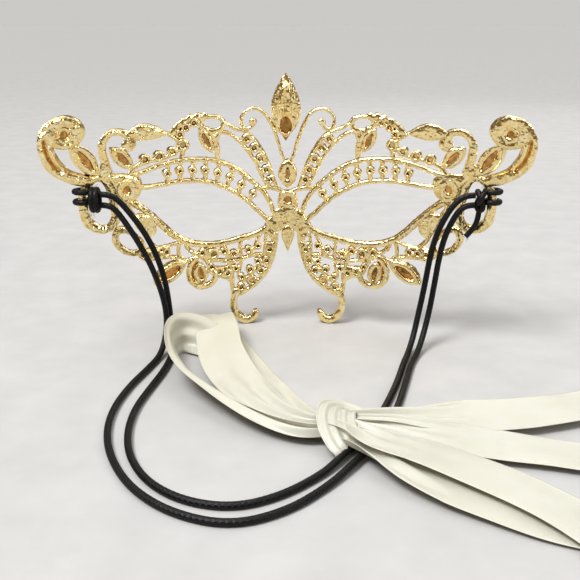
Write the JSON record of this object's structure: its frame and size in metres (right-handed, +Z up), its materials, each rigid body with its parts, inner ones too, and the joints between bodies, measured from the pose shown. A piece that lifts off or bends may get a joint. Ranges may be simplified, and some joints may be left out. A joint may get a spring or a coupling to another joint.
{
  "type": "masquerade mask",
  "caption": "Open filigree eye mask of gilt metal set with crystals, with eye openings, a crest, two foot curls, a doubled elastic strap and a satin ribbon.",
  "frame": {"origin": "the point of the nose bridge that rests on the wearer's face, halfway between the eye openings", "axes": "+X to the wearer's right, +Y out of the decorated front, +Z up with the mask worn or standing on its foot curls"},
  "size_m": [0.2204, 0.1799, 0.1115],
  "materials": {
    "gilt_metal": "pale gold plate over cast metal, rough cast back with bright worn edges",
    "clear_crystal": "clear faceted glass with a dark foil back",
    "amber_crystal": "amber foiled faceted glass",
    "black_elastic": "round braided elastic cord",
    "satin_ribbon": "cream satin ribbon"
  },
  "bodies": {
    "mask": {"antenna_left": "gilt_metal", "antenna_right": "gilt_metal", "brow_arch_left": "gilt_metal", "brow_arch_right": "gilt_metal", "brow_chaton_row_left": "gilt_metal", "brow_chaton_row_right": "gilt_metal", "brow_leaf_cups": "gilt_metal", "brow_swoosh_left": "gilt_metal", "brow_swoosh_right": "gilt_metal", "centre_cup": "gilt_metal", "chaton_crystals": "amber_crystal", "cheek_band_left": "gilt_metal", "cheek_band_right": "gilt_metal", "cheek_lattice_left": "gilt_metal", "cheek_lattice_right": "gilt_metal", "cheek_leaf_cups": "gilt_metal", "cheek_leaf_left": "gilt_metal", "cheek_leaf_right": "gilt_metal", "cheek_scroll_left": "gilt_metal", "cheek_scroll_right": "gilt_metal", "crest_crystal": "clear_crystal", "crest_cup": "gilt_metal", "foot_curl_left": "gilt_metal", "foot_curl_right": "gilt_metal", "hitch_left": "black_elastic", "inner_brow_band_left": "gilt_metal", "inner_brow_band_right": "gilt_metal", "knot_right": "black_elastic", "leaf_crystals": "amber_crystal", "lid_posts_left": "gilt_metal", "lid_posts_right": "gilt_metal", "lower_eye_rim_left": "gilt_metal", "lower_eye_rim_right": "gilt_metal", "lower_lid_rail_left": "gilt_metal", "lower_lid_rail_right": "gilt_metal", "lower_temple_ring_left": "gilt_metal", "lower_temple_ring_right": "gilt_metal", "nose_bridge": "gilt_metal", "nose_leaf": "gilt_metal", "outer_scroll_left": "gilt_metal", "outer_scroll_right": "gilt_metal", "round_crystals": "amber_crystal", "strap_ring_left": "gilt_metal", "strap_ring_right": "gilt_metal", "teardrop_cup": "gilt_metal", "temple_hook_left": "gilt_metal", "temple_hook_right": "gilt_metal", "temple_leaf_cups": "gilt_metal", "temple_plate_left": "gilt_metal", "temple_plate_right": "gilt_metal", "upper_lid_rail_left": "gilt_metal", "upper_lid_rail_right": "gilt_metal", "wing_lattice_left": "gilt_metal", "wing_lattice_right": "gilt_metal"},
    "strap": {"elastic_outer": "black_elastic", "elastic_inner": "black_elastic", "ribbon_knot": "satin_ribbon", "ribbon_loops": "satin_ribbon", "ribbon_tails": "satin_ribbon"}
  },
  "joints": [
    {"name": "strap_swing", "type": "hinge", "parent": "mask", "child": "strap", "pos_m": [0, -0.028, 0.0162], "axis": [-1, 0, 0], "range_deg": [0, 100]}
  ]
}
